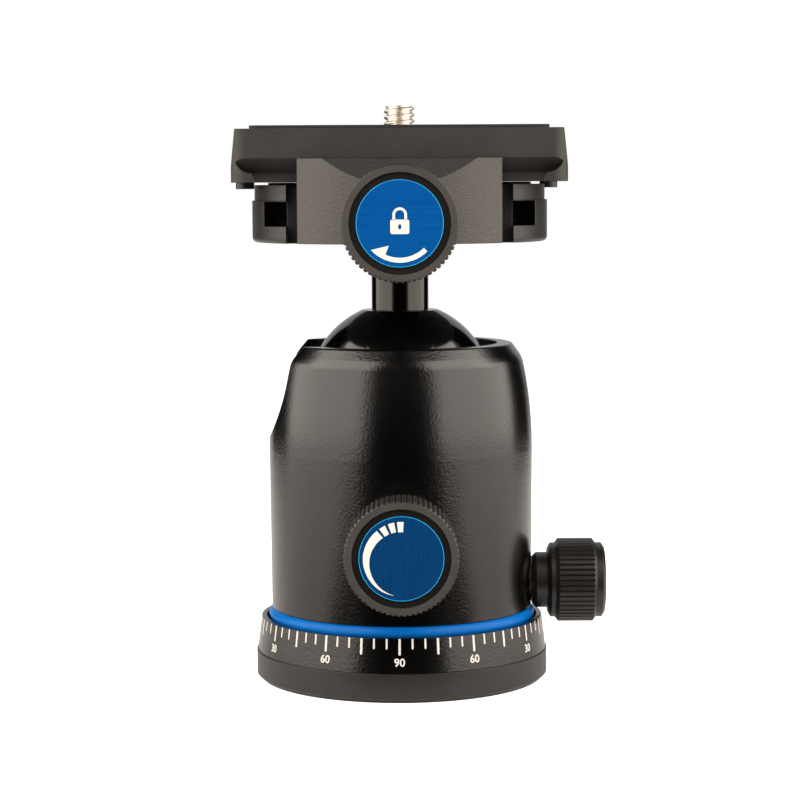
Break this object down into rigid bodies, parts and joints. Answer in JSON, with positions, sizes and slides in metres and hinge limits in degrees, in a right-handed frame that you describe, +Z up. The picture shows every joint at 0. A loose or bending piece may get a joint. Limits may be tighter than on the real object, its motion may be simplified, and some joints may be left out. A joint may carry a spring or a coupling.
{
  "type": "tripod ball head",
  "caption": "Tripod ball head with panning base, drop notch, lock knobs and a dovetail quick-release clamp and plate with a camera screw.",
  "frame": {"origin": "centre of the base's underside, at the mouth of the tripod thread", "axes": "+Z up along the pan axis; -Y is the pictured front with the two disc-faced knobs; +X is the pan lock knob and -X the drop notch"},
  "size_m": [0.0765, 0.0773, 0.1188],
  "materials": {
    "housing_black": "fine orange-peel powder coat",
    "base_black": "satin black anodised, finely turned",
    "scale_black": "satin black with warm white scale marks",
    "index_blue": "gloss blue anodised",
    "steel": "turned steel",
    "bright_steel": "bright plated thread",
    "brass": "machined",
    "alloy": "machined",
    "slip_white": "low-friction plastic",
    "guide_black": "moulded",
    "ball_black": "gloss black anodised",
    "clamp_grey": "fine matt powder coat",
    "jaw_grey": "fine textured powder coat",
    "knob_black": "satin black anodised, knurled",
    "bezel_black": "gloss black",
    "clamp_disc_blue": "brushed blue anodised, white marking",
    "lock_disc_blue": "brushed dark blue anodised, white gauge",
    "plate_grey": "matt dark grey, fine grain",
    "pad_rubber": "matt rubber"
  },
  "bodies": {
    "base": {"base_disc": "base_black", "scale_ring": "scale_black", "tripod_bush": "steel", "pan_spindle": "alloy", "base_screws": "steel", "pan_washer": "slip_white", "spindle_cap": "steel", "cap_screws": "steel"},
    "housing": {"housing": "housing_black", "index_ring": "index_blue", "ball_retaining_ring": "guide_black", "wedge_guide": "guide_black", "lock_bush": "brass", "pan_lock_bush": "brass"},
    "lock_wedge": {"lock_wedge": "brass"},
    "lifter": {"lifter": "steel", "ball_seat": "slip_white"},
    "lock_knob": {"lock_screw": "steel", "lock_knob": "knob_black", "lock_knob_bezel": "bezel_black", "lock_knob_disc": "lock_disc_blue"},
    "pan_shoe": {"pan_shoe": "brass"},
    "pan_knob": {"pan_lock_screw": "steel", "pan_knob": "knob_black", "pan_knob_cap": "bezel_black"},
    "ball_liner": {"ball_liner": "slip_white"},
    "ball": {"ball": "ball_black", "clamp_screw": "steel"},
    "clamp": {"clamp_body": "clamp_grey", "jaw_guide_pins": "steel", "jaw_spring": "steel"},
    "jaw": {"jaw": "jaw_grey", "clamp_washer": "steel"},
    "clamp_knob": {"clamp_bolt": "steel", "clamp_knob": "knob_black", "clamp_knob_bezel": "bezel_black", "clamp_knob_disc": "clamp_disc_blue"},
    "plate": {"plate": "plate_grey", "plate_pad": "pad_rubber", "plate_stop_pins": "steel"},
    "camera_screw": {"camera_screw": "bright_steel", "screw_clip": "steel"}
  },
  "joints": [
    {"name": "pan", "type": "hinge", "parent": "base", "child": "housing", "pos_m": [0, 0, 0.0198], "axis": [0, 0, 1], "continuous": true},
    {"name": "wedge_travel", "type": "slide", "parent": "housing", "child": "lock_wedge", "axis": [0, -1, 0], "range_m": [0, 0.00125]},
    {"name": "lock_knob_turn", "type": "hinge", "parent": "lock_wedge", "child": "lock_knob", "pos_m": [0, -0.035, 0.0309], "axis": [0, -1, 0], "range_deg": [0, 360]},
    {"name": "lifter_travel", "type": "slide", "parent": "housing", "child": "lifter", "axis": [0, 0, 1], "range_m": [-0.000456, 0]},
    {"name": "shoe_travel", "type": "slide", "parent": "housing", "child": "pan_shoe", "axis": [1, 0, 0], "range_m": [0, 0.001]},
    {"name": "pan_knob_turn", "type": "hinge", "parent": "pan_shoe", "child": "pan_knob", "pos_m": [0.035, 0, 0.0198], "axis": [1, 0, 0], "range_deg": [0, 360]},
    {"name": "ball_fore_aft", "type": "hinge", "parent": "housing", "child": "ball_liner", "pos_m": [0, 0, 0.0589], "axis": [1, 0, 0], "range_deg": [-32, 32]},
    {"name": "ball_side_tilt", "type": "hinge", "parent": "ball_liner", "child": "ball", "pos_m": [0, 0, 0.0589], "axis": [0, 1, 0], "range_deg": [-90, 32]},
    {"name": "head_spin", "type": "hinge", "parent": "ball", "child": "clamp", "pos_m": [0, 0, 0.091], "axis": [0, 0, 1], "continuous": true},
    {"name": "jaw_travel", "type": "slide", "parent": "clamp", "child": "jaw", "axis": [0, -1, 0], "range_m": [0, 0.003], "deforming": ["jaw_spring"]},
    {"name": "clamp_knob_turn", "type": "hinge", "parent": "jaw", "child": "clamp_knob", "pos_m": [0, -0.04, 0.09545], "axis": [0, -1, 0], "range_deg": [0, 1080]},
    {"name": "plate_slide", "type": "slide", "parent": "clamp", "child": "plate", "axis": [1, 0, 0], "range_m": [-0.0007, 0.0007]},
    {"name": "camera_screw_turn", "type": "hinge", "parent": "plate", "child": "camera_screw", "pos_m": [0, 0, 0.1166], "axis": [0, 0, 1], "continuous": true}
  ],
  "couplings": [
    {"joint": "lock_knob_turn", "follows": "wedge_travel", "rad_per_m": 5026.5},
    {"joint": "lifter_travel", "follows": "wedge_travel", "ratio": -0.364},
    {"joint": "pan_knob_turn", "follows": "shoe_travel", "rad_per_m": 6283.2},
    {"joint": "clamp_knob_turn", "follows": "jaw_travel", "rad_per_m": 6283.2}
  ]
}
